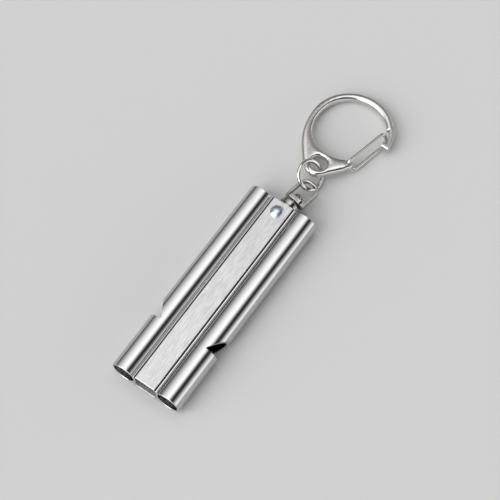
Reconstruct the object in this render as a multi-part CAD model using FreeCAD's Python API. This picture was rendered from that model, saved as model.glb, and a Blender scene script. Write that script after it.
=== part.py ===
import FreeCAD, Part
import math
import os

os.makedirs("parts", exist_ok=True)

V = FreeCAD.Vector
Rot = FreeCAD.Rotation
X, Y, Z = V(1, 0, 0), V(0, 1, 0), V(0, 0, 1)

# Millimetres. The whistle lies flat: mouth end at -Y, swivel and clip at +Y, +Z up.
# While it is built, y = 0 is the mouth end and z = 0 the table. The last lines move
# everything so that the origin is the bottom centre of the whole object's box.

# Whistle body: two tubes with a box channel between them, and a raised flat face on it
BODY_LENGTH = 58.8
TUBE_R = 3.45
TUBE_WALL = 0.5
CHANNEL_W = 7.4
CHANNEL_H = 5.1
CHANNEL_CORNER_R = 0.35
CHANNEL_BORE_W = 6.1
CHANNEL_BORE_R = 0.9
FACE_W = 5.75
FACE_T = 0.5
FACE_EDGE_R = 0.14
TUBE_SINK = 0.6
END_BREAK = 0.1
TUBE_X = CHANNEL_W / 2 + TUBE_R - TUBE_SINK
AXIS_Z = TUBE_R
FACE_H = CHANNEL_H + 2 * FACE_T

# V window in the outer side of each tube
WINDOW_Y = 15.75
WINDOW_CUT = 3.2
WINDOW_FLAT = 0.35
WINDOW_RAMP = 5.25

# Plugs in the tubes
PLUG_FIT = 0.01
FIPPLE_RECESS = 2.2
WINDWAY = 0.8
REAR_RECESS = 0.4
REAR_PLUG_L = 2.0
REAR_PLUG_R = 5.0

# Rivet through the channel
RIVET_INSET = 3.0
RIVET_R = 1.0
RIVET_HEAD_R = 1.78
RIVET_HEAD_H = 0.85
RIVET_TAIL_R = 1.6
RIVET_TAIL_H = 0.3
RIVET_AT = V(0, BODY_LENGTH - RIVET_INSET, AXIS_Z)

# Swivel stem, measured along its own axis from the rivet
STEM_YAW = -11.0
STEM_CLEARANCE = 0.25
STEM_R = CHANNEL_H / 2 - STEM_CLEARANCE
STEM_BACK = -2.4
COLLAR_START = 3.75
COLLAR_LENGTH = 1.3
COLLAR_R = 2.65
NECK_R = 0.95
NECK_END = 7.3
HEAD_R = 1.3
HEAD_H = 1.3
PIN_CLEARANCE = 0.05

# Swivel shackle on the neck
SHACKLE_ROLL = -7.0
SHACKLE_START = 5.75
SHACKLE_BASE_L = 1.4
SHACKLE_BASE_W = 5.6
SHACKLE_BASE_H = 3.6
SHACKLE_BASE_R = 1.6
SHACKLE_STRIP_T = 0.75
SHACKLE_STRIP_W = 1.35
SHACKLE_STRIP_R = 0.3
SHACKLE_INSET = 0.08
SHACKLE_TOP = 12.9
SHACKLE_CORNER_R = 2.1
SHACKLE_HALF = SHACKLE_BASE_W / 2 - SHACKLE_INSET

# Jump ring: where its centre lies from the middle of the shackle's bow, as parts of its radius
RING_R = 3.737
RING_WIRE_R = 0.575
RING_FROM_BOW = V(-0.5818, 0.4916, -0.0056)
RING_NORMAL = V(0.6709, 0.1054, 0.734)
RING_GAP_DEG = 2.5
RING_GAP_DIR = V(0.55, -0.83, 0.0)

# Clip: its eye from the ring's centre, as parts of the ring's radius, and the casting's tilt
EYE_FROM_RING = V(-0.0105, 1.0656, -0.1138)
CLIP_PITCH = -4.0
CLIP_ROLL = -2.06
CLIP_HALF_T = 1.2
HOOK_OUTER_R = 11.4
HOOK_BAR = 2.05
HOOK_STEP_DEG = 34.0
NECK_BAR = 1.3
NOSE_HALF_T = 1.15
NOSE_EDGE_R = 0.38
LIP_BAR = 2.45
LIP_H = 1.4
HOOK_FLAT = 0.25
SIDE_FLAT = 0.64
EYE_ROUNDING = 0.5
EYE_FLAT = 0.15
HOOK_INNER_R = HOOK_OUTER_R - HOOK_BAR
NECK_INNER_R = HOOK_OUTER_R - NECK_BAR
CLIP_EDGE_R = min((HOOK_BAR - HOOK_FLAT) / 2, CLIP_HALF_T - SIDE_FLAT / 2, 0.079 * HOOK_OUTER_R)

# Clip outline about the centre of the hook, as parts of the hook's outer radius
EYE = V(-0.0807, -1.1535, 0) * HOOK_OUTER_R
EYE_R = 0.1974 * HOOK_OUTER_R
EYE_WALL = 0.1404 * HOOK_OUTER_R
EYE_RIM_R = min(EYE_ROUNDING, EYE_WALL - CLIP_EDGE_R - EYE_FLAT)
EAR = V(0.4693, -0.7763, 0) * HOOK_OUTER_R
EAR_R = 0.1009 * HOOK_OUTER_R
NOSE_END_Y = 0.0307 * HOOK_OUTER_R
FLANK = [(-0.914, -0.5263), (-0.7763, -0.8289), (-0.6316, -1.0395), (-0.4825, -1.2325),
         (-0.3246, -1.3947), (-0.0877, -1.4912), (0.0877, -1.4211), (0.2281, -1.2632),
         (0.3684, -1.0965), (0.4912, -0.9386)]
CROOK = [(0.3509, -0.7281), (0.2018, -0.7939), (0.0439, -0.8333), (-0.1228, -0.8465),
         (-0.2895, -0.8202), (-0.4561, -0.7456), (-0.5877, -0.6404), (-0.7105, -0.4912),
         (-0.7895, -0.2895)]

# Gate wire, in the clip's plane and off it, its corners as parts of the hook's outer radius
GATE_WIRE_R = 0.475
GATE_SIDE = 1.75
GATE_DEPTH = 0.55
GATE_TOP_CORNER = V(0.7018, 0.3246, 0) * HOOK_OUTER_R
GATE_BOTTOM_CORNER = V(0.8114, 0.2807, 0) * HOOK_OUTER_R
GATE_KNEE = V(0.6096, -0.693, 0) * HOOK_OUTER_R
GATE_HOLE_CLEARANCE = 0.045
GATE_BENDS = [0.55, 1.3, 1.3, 0.8, 0.55]


def cylinder(radius, start, end, axis):
    # Round bar between two points on one axis
    return Part.makeCylinder(radius, (end - start).Length, start, axis)


def rounded_rectangle(width, height, radius):
    # Closed wire in the XZ plane about the origin
    w, h, r = width / 2, height / 2, radius
    corners = [(w, -h + r, w, h - r, w - r, h - r, 0), (w - r, h, -w + r, h, -w + r, h - r, 90),
               (-w, h - r, -w, -h + r, -w + r, -h + r, 180),
               (-w + r, -h, w - r, -h, w - r, -h + r, 270)]
    edges = []
    for x0, z0, x1, z1, cx, cz, start in corners:
        edges.append(Part.makeLine(V(x0, 0, z0), V(x1, 0, z1)))
        points = []
        for step in (0, 45, 90):
            a = math.radians(start + step)
            points.append(V(cx + r * math.cos(a), 0, cz + r * math.sin(a)))
        edges.append(Part.Arc(*points).toShape())
    return Part.Wire(Part.__sortEdges__(edges))


def rounded_path(points, radii):
    # Straight runs with an arc at each inner point
    edges = []
    last = points[0]
    for i in range(1, len(points) - 1):
        corner = points[i]
        back = (points[i - 1] - corner).normalize()
        ahead = (points[i + 1] - corner).normalize()
        half = back.getAngle(ahead) / 2
        reach = radii[i - 1] / math.tan(half)
        middle = (back + ahead).normalize()
        centre = corner + middle * (radii[i - 1] / math.sin(half))
        start, end = corner + back * reach, corner + ahead * reach
        if (start - last).Length > 1e-4:
            edges.append(Part.makeLine(last, start))
        edges.append(Part.Arc(start, centre - middle * radii[i - 1], end).toShape())
        last = end
    if (points[-1] - last).Length > 1e-4:
        edges.append(Part.makeLine(last, points[-1]))
    return Part.Wire(edges)


def round_wire(path, radius, start, direction):
    # Round wire swept along a smooth path
    profile = Part.Wire(Part.makeCircle(radius, start, direction))
    return path.makePipeShell([profile], True, False)


def edges_at(shape, test):
    return [e for e in shape.Edges if all(test(v.Point) for v in e.Vertexes)]


def channel_section(width, height, radius, y=0.0, grow=0.0):
    # Closed wire across the channel at one station, grown alike on every side
    wire = rounded_rectangle(width + 2 * grow, height + 2 * grow, radius + grow)
    wire.translate(V(0, y, AXIS_Z))
    return wire


def break_ends(shape):
    ends = edges_at(shape, lambda p: p.y < 1e-6) + edges_at(shape, lambda p: p.y > BODY_LENGTH - 1e-6)
    return shape.makeChamfer(END_BREAK, ends)


def channel_bar(width, height, radius):
    wire = channel_section(width, height, radius)
    return break_ends(Part.Face(wire).extrude(V(0, BODY_LENGTH, 0)))


def channel_bore(width, height, radius):
    # Flared at both ends by the edge break
    stations = [(0, END_BREAK), (END_BREAK, 0), (BODY_LENGTH - END_BREAK, 0), (BODY_LENGTH, END_BREAK)]
    wires = [channel_section(width, height, radius, y, grow) for y, grow in stations]
    return Part.makeLoft(wires, True, True)


def tube_start(side, y=0.0):
    return V(side * TUBE_X, y, AXIS_Z)


def tube_bore(side):
    # Flared at both ends by the edge break
    radius = TUBE_R - TUBE_WALL
    hole = Part.makeCylinder(radius, BODY_LENGTH, tube_start(side), Y)
    for y, inward in ((0, Y), (BODY_LENGTH, -Y)):
        hole = hole.fuse(Part.makeCone(radius + END_BREAK, radius, END_BREAK, tube_start(side, y), inward))
    return hole


def make_body():
    solid = channel_bar(CHANNEL_W, CHANNEL_H, CHANNEL_CORNER_R)
    solid = solid.fuse(channel_bar(FACE_W, FACE_H, FACE_EDGE_R))
    for side in (-1, 1):
        tube = Part.makeCylinder(TUBE_R, BODY_LENGTH, tube_start(side), Y)
        solid = solid.fuse(break_ends(tube))
    solid = solid.cut(channel_bore(CHANNEL_BORE_W, CHANNEL_H, CHANNEL_BORE_R))
    for side in (-1, 1):
        solid = solid.cut(tube_bore(side))
    solid = solid.removeSplitter()
    deep = TUBE_X + TUBE_R - WINDOW_CUT
    reach = TUBE_R
    outer = deep + WINDOW_CUT + reach
    ramp_end = WINDOW_Y + WINDOW_FLAT + WINDOW_RAMP * (WINDOW_CUT + reach) / WINDOW_CUT
    outline = [(deep, WINDOW_Y), (outer, WINDOW_Y), (outer, ramp_end),
               (deep, WINDOW_Y + WINDOW_FLAT), (deep, WINDOW_Y)]
    for side in (-1, 1):
        cutter = Part.Face(Part.makePolygon([V(side * x, y, -TUBE_R) for x, y in outline]))
        solid = solid.cut(cutter.extrude(V(0, 0, 4 * TUBE_R)))
    hole = Part.makeCylinder(RIVET_R + PLUG_FIT, 4 * TUBE_R, RIVET_AT - V(0, 0, 2 * TUBE_R), Z)
    return solid.cut(hole)


def make_fipple(side):
    radius = TUBE_R - TUBE_WALL - PLUG_FIT
    length = WINDOW_Y - FIPPLE_RECESS
    plug = Part.makeCylinder(radius, length, tube_start(side, FIPPLE_RECESS), Y)
    flat = TUBE_X + radius - WINDWAY
    block = Part.makeBox(radius, length, 2 * radius,
                         V(flat if side > 0 else -flat - radius, FIPPLE_RECESS, AXIS_Z - radius))
    return plug.cut(block)


def make_rear_plug(side, length):
    end = BODY_LENGTH - REAR_RECESS
    plug = Part.makeCylinder(TUBE_R - TUBE_WALL - PLUG_FIT, length, tube_start(side, end - length), Y)
    return plug.makeChamfer(0.2, edges_at(plug, lambda p: p.y > end - 1e-6))


def cap(radius, height):
    # Domed cap on the plane z = 0
    sphere_r = (radius * radius + height * height) / (2 * height)
    ball = Part.makeSphere(sphere_r, V(0, 0, height - sphere_r))
    return ball.common(Part.makeCylinder(radius + 1, height + 1, V(0, 0, 0), Z))


def make_rivet():
    half = V(0, 0, FACE_H / 2)
    shank = cylinder(RIVET_R, RIVET_AT - half, RIVET_AT + half, Z)
    head = cap(RIVET_HEAD_R, RIVET_HEAD_H)
    head.translate(RIVET_AT + half)
    tail = cap(RIVET_TAIL_R, RIVET_TAIL_H)
    tail.rotate(V(0, 0, 0), X, 180)
    tail.translate(RIVET_AT - half)
    return shank.fuse([head, tail]).removeSplitter()


def to_stem(shape, roll=0.0):
    # From the stem's own frame, along +Y from the rivet, to where it lies
    shape.rotate(V(0, 0, 0), Y, roll)
    shape.rotate(V(0, 0, 0), Z, STEM_YAW)
    shape.translate(RIVET_AT)
    return shape


def make_stem():
    rod = cylinder(STEM_R, V(0, STEM_BACK, 0), V(0, COLLAR_START + 0.2, 0), Y)
    rod = rod.makeChamfer(0.35, edges_at(rod, lambda p: p.y < STEM_BACK + 1e-6))
    collar = cylinder(COLLAR_R, V(0, COLLAR_START, 0), V(0, COLLAR_START + COLLAR_LENGTH, 0), Y)
    collar = collar.makeFillet(0.25, [e for e in collar.Edges if e.Curve.TypeId == "Part::GeomCircle"])
    neck = cylinder(NECK_R, V(0, COLLAR_START + 0.5, 0), V(0, NECK_END + HEAD_H / 4, 0), Y)
    head = cap(HEAD_R, HEAD_H)
    head.rotate(V(0, 0, 0), X, -90)
    head.translate(V(0, NECK_END, 0))
    stem = rod.fuse([collar, neck, head]).removeSplitter()
    stem = stem.cut(cylinder(RIVET_R + PIN_CLEARANCE, V(0, 0, -FACE_H), V(0, 0, FACE_H), Z))
    return to_stem(stem)


def make_shackle():
    base = Part.Face(rounded_rectangle(SHACKLE_BASE_W, SHACKLE_BASE_H, SHACKLE_BASE_R))
    base = base.extrude(V(0, SHACKLE_BASE_L, 0))
    base.translate(V(0, SHACKLE_START, 0))
    base = base.makeFillet(0.3, edges_at(base, lambda p: p.y < SHACKLE_START + 1e-6)
                           + edges_at(base, lambda p: p.y > SHACKLE_START + SHACKLE_BASE_L - 1e-6))
    foot = SHACKLE_START + 0.25
    points = [V(-SHACKLE_HALF, foot, 0), V(-SHACKLE_HALF, SHACKLE_TOP, 0),
              V(SHACKLE_HALF, SHACKLE_TOP, 0), V(SHACKLE_HALF, foot, 0)]
    path = rounded_path(points, [SHACKLE_CORNER_R, SHACKLE_CORNER_R])
    strip = rounded_rectangle(SHACKLE_STRIP_T, SHACKLE_STRIP_W, SHACKLE_STRIP_R)
    strip.translate(points[0])
    bow = path.makePipeShell([strip], True, False)
    hole = cylinder(NECK_R + PIN_CLEARANCE, V(0, 0, 0), V(0, SHACKLE_START + 2 * SHACKLE_BASE_L, 0), Y)
    return to_stem(base.fuse(bow).removeSplitter().cut(hole), SHACKLE_ROLL)


def ring_centre():
    turn = Rot(Z, STEM_YAW).multiply(Rot(Y, SHACKLE_ROLL))
    return RIVET_AT + turn.multVec(V(0, SHACKLE_TOP, 0)) + RING_FROM_BOW * RING_R


def make_ring():
    profile = Part.Face(Part.Wire(Part.makeCircle(RING_WIRE_R, V(RING_R, 0, 0), Y)))
    ring = profile.revolve(V(0, 0, 0), Z, 360 - RING_GAP_DEG)
    normal = V(RING_NORMAL).normalize()
    across = RING_GAP_DIR - normal * RING_GAP_DIR.dot(normal)
    ring.Placement = FreeCAD.Placement(ring_centre(), Rot(across, V(0, 0, 0), normal, "ZXY"))
    return ring


def to_clip(shape):
    # From the clip's own plane to where it lies, with its eye on the ring
    turn = Rot(Y, CLIP_ROLL).multiply(Rot(X, CLIP_PITCH))
    eye_at = ring_centre() + EYE_FROM_RING * RING_R
    shape.Placement = FreeCAD.Placement(eye_at - turn.multVec(EYE), turn).multiply(shape.Placement)
    return shape


def on_circle(radius, degrees):
    a = math.radians(degrees)
    return V(radius * math.cos(a), radius * math.sin(a), 0)


def spline(points, start, end):
    curve = Part.BSplineCurve()
    curve.interpolate(Points=points, InitialTangent=start, FinalTangent=end)
    return curve.toShape()


def tangent(degrees):
    a = math.radians(degrees)
    return V(-math.sin(a), math.cos(a), 0)


def make_clip():
    low = V(0, 0, -CLIP_HALF_T)
    outer_end, inner_end = 184.0, 182.0
    ear_in, ear_out = 125.0, -38.0
    ear_start = EAR + on_circle(EAR_R, ear_out)
    ear_stop = EAR + on_circle(EAR_R, ear_in)
    ear_mid = EAR + on_circle(EAR_R, (ear_in + ear_out) / 2)
    flank = [on_circle(HOOK_OUTER_R, outer_end)] + [V(x, y, 0) * HOOK_OUTER_R for x, y in FLANK] + [ear_start]
    crook = [ear_stop] + [V(x, y, 0) * HOOK_OUTER_R for x, y in CROOK] + [on_circle(HOOK_INNER_R, inner_end)]
    edges = [
        Part.Arc(on_circle(HOOK_OUTER_R, HOOK_STEP_DEG), on_circle(HOOK_OUTER_R, 110),
                 flank[0]).toShape(),
        spline(flank, tangent(outer_end), tangent(ear_out)),
        Part.Arc(ear_start, ear_mid, ear_stop).toShape(),
        spline(crook, tangent(ear_in), tangent(inner_end) * -1),
        Part.Arc(crook[-1], on_circle(HOOK_INNER_R, 110),
                 on_circle(HOOK_INNER_R, HOOK_STEP_DEG)).toShape(),
        Part.makeLine(on_circle(HOOK_INNER_R, HOOK_STEP_DEG), on_circle(HOOK_OUTER_R, HOOK_STEP_DEG)),
    ]
    face = Part.Face(Part.Wire(edges))
    face.translate(low)
    main = face.extrude(V(0, 0, 2 * CLIP_HALF_T))
    rims = [e for e in main.Edges if abs(e.Vertexes[0].Z - e.Vertexes[-1].Z) < 1e-6]
    main = main.makeFillet(CLIP_EDGE_R, rims)
    eye = Part.makeCylinder(EYE_R, 2 * CLIP_HALF_T, EYE + low, Z)
    main = main.cut(eye)
    rim = [e for e in main.Edges if e.Curve.TypeId == "Part::GeomCircle"
           and abs(e.Curve.Radius - EYE_R) < 1e-4 and abs(abs(e.Curve.Center.z) - CLIP_HALF_T) < 1e-4]
    main = main.makeFillet(EYE_RIM_R, rim)
    main = main.cut(cylinder(GATE_WIRE_R + GATE_HOLE_CLEARANCE, EAR + low * 2, EAR - low * 2, Z))
    return to_clip(main.fuse(make_nose()).removeSplitter())


def make_nose():
    overlap = HOOK_STEP_DEG + 4
    end = math.degrees(math.asin(NOSE_END_Y / HOOK_OUTER_R))
    neck_lo = math.degrees(math.asin((NOSE_END_Y + LIP_H) / NECK_INNER_R))
    tip_out = on_circle(HOOK_OUTER_R, end)
    lip_end = V(HOOK_OUTER_R - LIP_BAR, NOSE_END_Y, 0)
    lip_top = lip_end + V(0, LIP_H, 0)
    neck_in = on_circle(NECK_INNER_R, neck_lo)
    edges = [
        Part.Arc(tip_out, on_circle(HOOK_OUTER_R, overlap / 2), on_circle(HOOK_OUTER_R, overlap)).toShape(),
        Part.makeLine(on_circle(HOOK_OUTER_R, overlap), on_circle(NECK_INNER_R, overlap)),
        Part.Arc(on_circle(NECK_INNER_R, overlap), on_circle(NECK_INNER_R, overlap / 2), neck_in).toShape(),
        Part.makeLine(neck_in, lip_top),
        Part.makeLine(lip_top, lip_end),
        Part.makeLine(lip_end, tip_out),
    ]
    face = Part.Face(Part.Wire(edges))
    face.translate(V(0, 0, -NOSE_HALF_T))
    nose = face.extrude(V(0, 0, 2 * NOSE_HALF_T))
    rims = [e for e in nose.Edges if abs(e.Vertexes[0].Z - e.Vertexes[-1].Z) < 1e-6]
    return nose.makeFillet(NOSE_EDGE_R, rims)


def make_gate():
    up = V(0, 0, GATE_SIDE)
    points = [EAR + V(0, 0, GATE_DEPTH), EAR + up, GATE_TOP_CORNER + up,
              GATE_BOTTOM_CORNER - up, GATE_KNEE - up, EAR - up, EAR - V(0, 0, GATE_DEPTH)]
    path = rounded_path(points, GATE_BENDS)
    return to_clip(round_wire(path, GATE_WIRE_R, points[0], Z))


nodes = {
    "whistle_body": make_body(),
    "fipple_plug_left": make_fipple(-1),
    "fipple_plug_right": make_fipple(1),
    "rear_plug_left": make_rear_plug(-1, REAR_PLUG_L),
    "rear_plug_right": make_rear_plug(1, REAR_PLUG_R),
    "rivet": make_rivet(),
    "swivel_stem": make_stem(),
    "swivel_shackle": make_shackle(),
    "jump_ring": make_ring(),
    "clip_body": make_clip(),
    "gate_wire": make_gate(),
}

# The origin goes to the bottom centre of the whole object's box
box = FreeCAD.BoundBox()
for shape in nodes.values():
    box.add(shape.optimalBoundingBox(False, False))
shift = V(-box.Center.x, -box.Center.y, -box.ZMin)
for name, shape in nodes.items():
    shape.translate(shift)
    shape.exportStep(f"parts/{name}.step")
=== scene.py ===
import math

import bpy
import numpy
from mathutils import Euler, Matrix, Vector


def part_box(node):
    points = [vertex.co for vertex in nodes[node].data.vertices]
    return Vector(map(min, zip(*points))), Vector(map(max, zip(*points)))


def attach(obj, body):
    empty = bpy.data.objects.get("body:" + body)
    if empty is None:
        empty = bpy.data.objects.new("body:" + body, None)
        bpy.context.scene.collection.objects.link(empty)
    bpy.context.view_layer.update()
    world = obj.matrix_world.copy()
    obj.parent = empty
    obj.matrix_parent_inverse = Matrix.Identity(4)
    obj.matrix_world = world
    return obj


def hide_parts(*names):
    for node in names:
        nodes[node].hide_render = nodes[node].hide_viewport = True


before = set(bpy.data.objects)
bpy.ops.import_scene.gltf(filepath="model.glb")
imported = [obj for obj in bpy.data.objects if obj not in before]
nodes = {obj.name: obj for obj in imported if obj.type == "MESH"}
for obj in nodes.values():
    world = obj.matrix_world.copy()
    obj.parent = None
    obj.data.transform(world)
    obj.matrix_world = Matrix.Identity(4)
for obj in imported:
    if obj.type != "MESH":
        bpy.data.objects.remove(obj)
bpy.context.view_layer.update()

MM = 0.001

# Whistle body, measured from the middle of its section: the raised flat faces, top and bottom
FACE_HALF = 2.9 * MM
FACE_BASE = 2.95 * MM
FACE_TOP = 3.02 * MM

# Painted shade for a groove's shadow beside the faces: the middle and half width of each strip,
# and how low it reaches
SEAM_SHADE_RIGHT = (3.02 * MM, 0.17 * MM)
SEAM_SHADE_LEFT = (-3.09 * MM, 0.24 * MM)
SEAM_SHADE_LOW = 2.4 * MM
SEAM_SHADE_COLOUR = (0.035, 0.035, 0.035)
SEAM_SHADE_ROUGH = 0.5

# Inside of the channel, as two boxes: half width and half height of each
CHANNEL_SIDES = (3.1 * MM, 2.4 * MM)
CHANNEL_FLOOR = (2.8 * MM, 2.7 * MM)
CHANNEL_ROUGH = 0.45

# Half the width of a soft edge between two finishes
EDGE_SOFTNESS = 0.05 * MM

# Brushing: waves per metre along each axis, with the tubes along Y
SCRATCH_SCALE = (6500, 130, 6500)
SCRATCH_DETAIL = 4
FLECK_SCALE = (6400, 420, 6400)
FLECK_SPAN = (0.12, 0.4)
FACE_ROUGH = (0.26, 0.4)
TUBE_ROUGH = (0.1, 0.15)
BRUSH_DEPTH = 0.012 * MM
TUBE_BRUSH_SHARE = 0.12

# The part of a noise's range that is spread over a material's own range
NOISE_SPAN = (0.3, 0.7)
NOISE_DETAIL = 3

# Clip: a copy of the CAD casting, remeshed, with the soft crown of a polished casting. The wall
# within CLIP_WALL of its middle plane stays as cast. So does the nose, which lies within the
# first NOSE_SPAN of the clip's right end and further than the second from its rear end.
CLIP_VOXEL = 0.09 * MM
CLIP_TILT = (math.radians(-4.0), math.radians(-2.06), 0)
CLIP_WALL = 0.32 * MM
CLIP_PASSES = 140
NOSE_SPAN = (3.2 * MM, 5.0 * MM)

FLOOR_HALF = 3.0
FLOOR_COLOUR = (0.58, 0.58, 0.58)
FLOOR_ROUGH = 0.9

# Camera: angles about the object in degrees, and lengths in millimetres
CAMERA_AZIMUTH = 35.391
CAMERA_ELEVATION = 65.982
CAMERA_ROLL = -0.269
CAMERA_DISTANCE = 425.669
CAMERA_LENS = 121.4
CAMERA_SENSOR = 36
CAMERA_TARGET = Vector((-2.395, -3.769, 0.0))
CAMERA_CLIP_START = 0.01

# Panels of the studio. Each pair says where a panel starts and where it is full. OVERHEAD_LEFT,
# OVERHEAD_RIGHT and RIGHT_SIDE are angles about the tubes, in degrees from straight above towards
# +X. The other pairs are the +X or +Y part of a direction. The overhead panel's right edge turns
# by OVERHEAD_SLANT degrees per unit of +Y, and OVERHEAD_RIGHT holds where +Y is SLANT_CENTRE.
OVERHEAD_LEVEL = 1.95
OVERHEAD_LEFT = (-100, 12)
OVERHEAD_RIGHT = (32, -1)
OVERHEAD_SLANT = 26
SLANT_CENTRE = 0.332
OVERHEAD_BACK = (0.62, 0.29)
OVERHEAD_BACK_LEVEL = 0.18
RIGHT_LEVEL = 1.5
RIGHT_SIDE = (40, 86)
FRONT_LEVEL = 2.6
FRONT_SIDE = (-0.28, -0.56)
FRONT_RIGHT = (0.34, 0.08)
FRONT_LEFT = (-1.0, -0.62)
ROOM_LEVEL = 0.04


def new_material(name, colour, roughness, metallic=1.0):
    material = bpy.data.materials.new(name)
    material.use_nodes = True
    tree = material.node_tree
    shader = tree.nodes["Principled BSDF"]
    shader.inputs["Base Color"].default_value = (*colour, 1)
    shader.inputs["Metallic"].default_value = metallic
    shader.inputs["Roughness"].default_value = roughness
    return material, tree, shader


def feed(tree, socket, value):
    # A socket takes a plain value or another node's output
    if isinstance(value, (int, float, tuple)):
        socket.default_value = value
    else:
        tree.links.new(value, socket)


def place(tree, scale=(1, 1, 1)):
    # The object's own coordinates, with one scale along each axis
    coords = tree.nodes.new("ShaderNodeTexCoord")
    mapping = tree.nodes.new("ShaderNodeMapping")
    mapping.inputs["Scale"].default_value = scale
    tree.links.new(coords.outputs["Object"], mapping.inputs["Vector"])
    return mapping.outputs["Vector"]


def noise(tree, scale, detail=NOISE_DETAIL):
    texture = tree.nodes.new("ShaderNodeTexNoise")
    texture.inputs["Scale"].default_value = 1
    texture.inputs["Detail"].default_value = detail
    tree.links.new(place(tree, scale), texture.inputs["Vector"])
    return texture.outputs["Fac"]


def spread(tree, value, result, span=NOISE_SPAN, interpolation="LINEAR"):
    # Brings a value from one range to another, and holds it there
    node = tree.nodes.new("ShaderNodeMapRange")
    node.interpolation_type = interpolation
    for key, number in zip(("From Min", "From Max", "To Min", "To Max"), (*span, *result)):
        node.inputs[key].default_value = number
    tree.links.new(value, node.inputs["Value"])
    return node.outputs["Result"]


def ramp(tree, value, dark, light, span=NOISE_SPAN):
    node = tree.nodes.new("ShaderNodeValToRGB")
    for stop, position, colour in zip(node.color_ramp.elements, span, (dark, light)):
        stop.position = position
        stop.color = (*colour, 1)
    tree.links.new(value, node.inputs["Fac"])
    return node.outputs["Color"]


def maths(tree, operation, first, second=0):
    node = tree.nodes.new("ShaderNodeMath")
    node.operation = operation
    for socket, value in zip(node.inputs, (first, second)):
        feed(tree, socket, value)
    return node.outputs["Value"]


def product(tree, *values):
    result = values[0]
    for value in values[1:]:
        result = maths(tree, "MULTIPLY", result, value)
    return result


def distance(tree, value, centre):
    return maths(tree, "ABSOLUTE", maths(tree, "SUBTRACT", value, centre))


def inside(tree, value, bound):
    # 1 where a distance is under the bound, and 0 beyond it
    return spread(tree, value, (1, 0), (bound - EDGE_SOFTNESS, bound + EDGE_SOFTNESS))


def outside(tree, value, bound):
    return maths(tree, "SUBTRACT", 1, inside(tree, value, bound))


def blend(tree, mask, first, second, kind="FLOAT"):
    # Mix of two values or two colours by a mask from 0 to 1
    node = tree.nodes.new("ShaderNodeMix")
    node.data_type = kind
    factor, a, b = (socket for socket in node.inputs if socket.enabled)
    for socket, value in ((factor, mask), (a, first), (b, second)):
        feed(tree, socket, value)
    return next(socket for socket in node.outputs if socket.enabled)


def bump(tree, shader, value, depth):
    node = tree.nodes.new("ShaderNodeBump")
    node.inputs["Strength"].default_value = 1
    node.inputs["Distance"].default_value = depth
    tree.links.new(value, node.inputs["Height"])
    tree.links.new(node.outputs["Normal"], shader.inputs["Normal"])


def metal(name, dark, light, rough, grain, depth):
    # Plated or bare metal with a fine grain in colour, roughness and height, in waves per metre
    material, tree, shader = new_material(name, light, rough[1])
    value = noise(tree, (grain, grain, grain))
    tree.links.new(ramp(tree, value, dark, light), shader.inputs["Base Color"])
    tree.links.new(spread(tree, value, rough), shader.inputs["Roughness"])
    bump(tree, shader, value, depth)
    return material


def make_shell():
    # Polished tubes with a faint lengthwise grain. The raised flat faces are brushed lengthwise,
    # the channel inside is left as drawn, and painted shade, a near-black strip for a groove's
    # shadow, runs along both sides of each face
    dark, light = (0.53, 0.53, 0.53), (0.58, 0.58, 0.575)
    face_dark, face_light = (0.4, 0.4, 0.405), (0.66, 0.66, 0.66)
    material, tree, shader = new_material("shell", light, TUBE_ROUGH[1])

    split = tree.nodes.new("ShaderNodeSeparateXYZ")
    tree.links.new(place(tree), split.inputs["Vector"])
    low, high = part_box("whistle_body")
    middle = Vector(low).lerp(Vector(high), 0.5)
    across = distance(tree, split.outputs["X"], middle.x)
    height = distance(tree, split.outputs["Z"], middle.z)

    face = product(tree, inside(tree, across, FACE_HALF), outside(tree, height, FACE_BASE))
    sides, floor = (product(tree, inside(tree, across, half), inside(tree, height, top))
                    for half, top in (CHANNEL_SIDES, CHANNEL_FLOOR))
    channel = maths(tree, "MAXIMUM", sides, floor)
    # Strips beside each face where a groove's shadow is painted in as near-black colour
    right, left = (inside(tree, distance(tree, split.outputs["X"], middle.x + centre), half)
                   for centre, half in (SEAM_SHADE_RIGHT, SEAM_SHADE_LEFT))
    seam_shade = product(tree, maths(tree, "MAXIMUM", right, left), inside(tree, height, FACE_TOP),
                   outside(tree, height, SEAM_SHADE_LOW))

    scratch = noise(tree, SCRATCH_SCALE, SCRATCH_DETAIL)
    brushing = product(tree, scratch, noise(tree, FLECK_SCALE))
    colour = blend(tree, face, ramp(tree, scratch, dark, light),
                   ramp(tree, brushing, face_dark, face_light, FLECK_SPAN), "RGBA")
    # Painted shade: near-black colour in the strips beside the faces, standing in for a groove's
    # shadow
    colour = blend(tree, seam_shade, colour, (*SEAM_SHADE_COLOUR, 1), "RGBA")
    tree.links.new(colour, shader.inputs["Base Color"])
    rough = blend(tree, face, spread(tree, scratch, TUBE_ROUGH), spread(tree, scratch, FACE_ROUGH))
    rough = blend(tree, channel, rough, CHANNEL_ROUGH)
    rough = blend(tree, seam_shade, rough, SEAM_SHADE_ROUGH)
    tree.links.new(rough, shader.inputs["Roughness"])
    relief = blend(tree, face, product(tree, scratch, TUBE_BRUSH_SHARE), brushing)
    bump(tree, shader, relief, BRUSH_DEPTH)
    return material


def dress(material, *names):
    for name in names:
        slots = nodes[name].data.materials
        slots.clear()
        slots.append(material)


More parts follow.
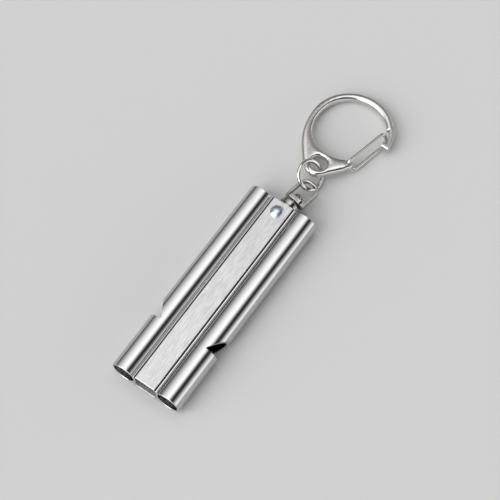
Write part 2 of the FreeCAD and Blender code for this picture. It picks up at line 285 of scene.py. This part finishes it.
def dress_nodes():
    dress(make_shell(), "whistle_body")
    dress(metal("turned_plug", dark=(0.2, 0.2, 0.205), light=(0.3, 0.3, 0.305),
                rough=(0.3, 0.4), grain=1500, depth=0.002 * MM),
          "fipple_plug_left", "fipple_plug_right", "rear_plug_left", "rear_plug_right")
    dress(metal("zinc", dark=(0.5, 0.56, 0.62), light=(0.62, 0.68, 0.74),
                rough=(0.25, 0.35), grain=900, depth=0.003 * MM),
          "rivet")
    dress(metal("dull_nickel", dark=(0.33, 0.32, 0.3), light=(0.45, 0.44, 0.42),
                rough=(0.07, 0.14), grain=1200, depth=0.004 * MM),
          "swivel_stem", "swivel_shackle")
    dress(metal("bright_nickel", dark=(0.62, 0.62, 0.6), light=(0.68, 0.67, 0.65),
                rough=(0.04, 0.07), grain=700, depth=0.002 * MM),
          "jump_ring", "gate_wire")


def remeshed(node, voxel):
    # A fine, even mesh around a copy of a CAD node
    copy = bpy.data.objects.new("remesh_copy", nodes[node].data.copy())
    bpy.context.scene.collection.objects.link(copy)
    remesh = copy.modifiers.new("remesh", "REMESH")
    remesh.mode = "VOXEL"
    remesh.voxel_size = voxel
    shape = copy.evaluated_get(bpy.context.evaluated_depsgraph_get())
    mesh = bpy.data.meshes.new_from_object(shape)
    bpy.data.objects.remove(copy)
    return mesh


def crown(mesh):
    # Smooths the height above the clip's middle plane, which turns flat faces and fillets
    # into one soft crown
    count = len(mesh.vertices)
    points = numpy.empty(count * 3)
    mesh.vertices.foreach_get("co", points)
    points = points.reshape(count, 3)
    pairs = numpy.empty(len(mesh.edges) * 2, dtype=int)
    mesh.edges.foreach_get("vertices", pairs)
    first, second = pairs.reshape(-1, 2).T
    links = numpy.bincount(first, minlength=count) + numpy.bincount(second, minlength=count)

    normal = numpy.array(Euler(CLIP_TILT).to_matrix() @ Vector((0, 0, 1)))
    height = points @ normal
    middle = (height.max() + height.min()) / 2
    level = height - middle
    right, back, _ = points.max(axis=0)
    nose = (points[:, 0] > right - NOSE_SPAN[0]) & (points[:, 1] < back - NOSE_SPAN[1])
    free = (numpy.abs(level) > CLIP_WALL) & ~nose
    for _ in range(CLIP_PASSES):
        total = numpy.bincount(first, level[second], count)
        total += numpy.bincount(second, level[first], count)
        level = numpy.where(free, (level + total / links) / 2, level)
    points += numpy.outer(level + middle - height, normal)
    mesh.vertices.foreach_set("co", points.ravel())


def make_clip():
    mesh = remeshed("clip_body", CLIP_VOXEL)
    crown(mesh)
    mesh.shade_smooth()
    mesh.materials.clear()
    mesh.materials.append(metal("satin_nickel", dark=(0.6, 0.595, 0.575), light=(0.66, 0.65, 0.63),
                                rough=(0.15, 0.21), grain=1400, depth=0.003 * MM))
    clip = bpy.data.objects.new("clip", mesh)
    bpy.context.scene.collection.objects.link(clip)
    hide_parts("clip_body")
    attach(clip, "clip")


def make_floor():
    mesh = bpy.data.meshes.new("floor")
    s = FLOOR_HALF
    mesh.from_pydata([(-s, -s, 0), (s, -s, 0), (s, s, 0), (-s, s, 0)], [], [(0, 1, 2, 3)])
    floor = bpy.data.objects.new("floor", mesh)
    bpy.context.scene.collection.objects.link(floor)
    material, _, _ = new_material("pale_floor", FLOOR_COLOUR, FLOOR_ROUGH, metallic=0)
    floor.data.materials.append(material)


def make_camera():
    a, e = math.radians(CAMERA_AZIMUTH), math.radians(CAMERA_ELEVATION)
    back = Vector((math.sin(a) * math.cos(e), -math.cos(a) * math.cos(e), math.sin(e)))
    level_right = Vector((math.cos(a), math.sin(a), 0))
    level_up = back.cross(level_right)
    r = math.radians(CAMERA_ROLL)
    right = level_right * math.cos(r) + level_up * math.sin(r)
    up = level_up * math.cos(r) - level_right * math.sin(r)
    data = bpy.data.cameras.new("camera")
    data.sensor_width = CAMERA_SENSOR
    data.lens = CAMERA_LENS
    data.clip_start = CAMERA_CLIP_START
    camera = bpy.data.objects.new("camera", data)
    bpy.context.scene.collection.objects.link(camera)
    spot = (CAMERA_TARGET + back * CAMERA_DISTANCE) * MM
    turn = Matrix((right, up, back)).transposed().to_4x4()
    camera.matrix_world = Matrix.Translation(spot) @ turn
    bpy.context.scene.camera = camera


def edge(tree, value, bounds):
    # Soft edge of a panel: 0 at the first bound, 1 at the second
    start, full = bounds
    result = (0, 1) if start < full else (1, 0)
    return spread(tree, value, result, sorted(bounds), "SMOOTHSTEP")


def radians(bounds, shift=0):
    return tuple(math.radians(bound + shift) for bound in bounds)


def make_light():
    world = bpy.context.scene.world or bpy.data.worlds.new("world")
    bpy.context.scene.world = world
    world.use_nodes = True
    tree = world.node_tree
    coords = tree.nodes.new("ShaderNodeTexCoord")
    split = tree.nodes.new("ShaderNodeSeparateXYZ")
    tree.links.new(coords.outputs["Generated"], split.inputs["Vector"])
    x, y, z = (split.outputs[axis] for axis in "XYZ")
    across = maths(tree, "ARCTAN2", x, z)
    slant = product(tree, y, math.radians(OVERHEAD_SLANT))
    slanted = maths(tree, "SUBTRACT", across, slant)
    right_edge = radians(OVERHEAD_RIGHT, -OVERHEAD_SLANT * SLANT_CENTRE)
    back = product(tree, edge(tree, y, OVERHEAD_BACK), 1 - OVERHEAD_BACK_LEVEL)
    back = maths(tree, "ADD", back, OVERHEAD_BACK_LEVEL)
    overhead = product(tree, edge(tree, across, radians(OVERHEAD_LEFT)),
                       edge(tree, slanted, right_edge), back, OVERHEAD_LEVEL)
    right = product(tree, edge(tree, across, radians(RIGHT_SIDE)), RIGHT_LEVEL)
    front = product(tree, edge(tree, y, FRONT_SIDE), edge(tree, x, FRONT_RIGHT),
                    edge(tree, x, FRONT_LEFT), FRONT_LEVEL)
    total = ROOM_LEVEL
    for level in (overhead, right, front):
        total = maths(tree, "ADD", level, total)
    background = tree.nodes["Background"]
    background.inputs["Color"].default_value = (1, 1, 1, 1)
    tree.links.new(total, background.inputs["Strength"])


dress_nodes()
make_clip()
make_floor()
make_camera()
make_light()
bpy.context.scene.view_settings.view_transform = "Standard"
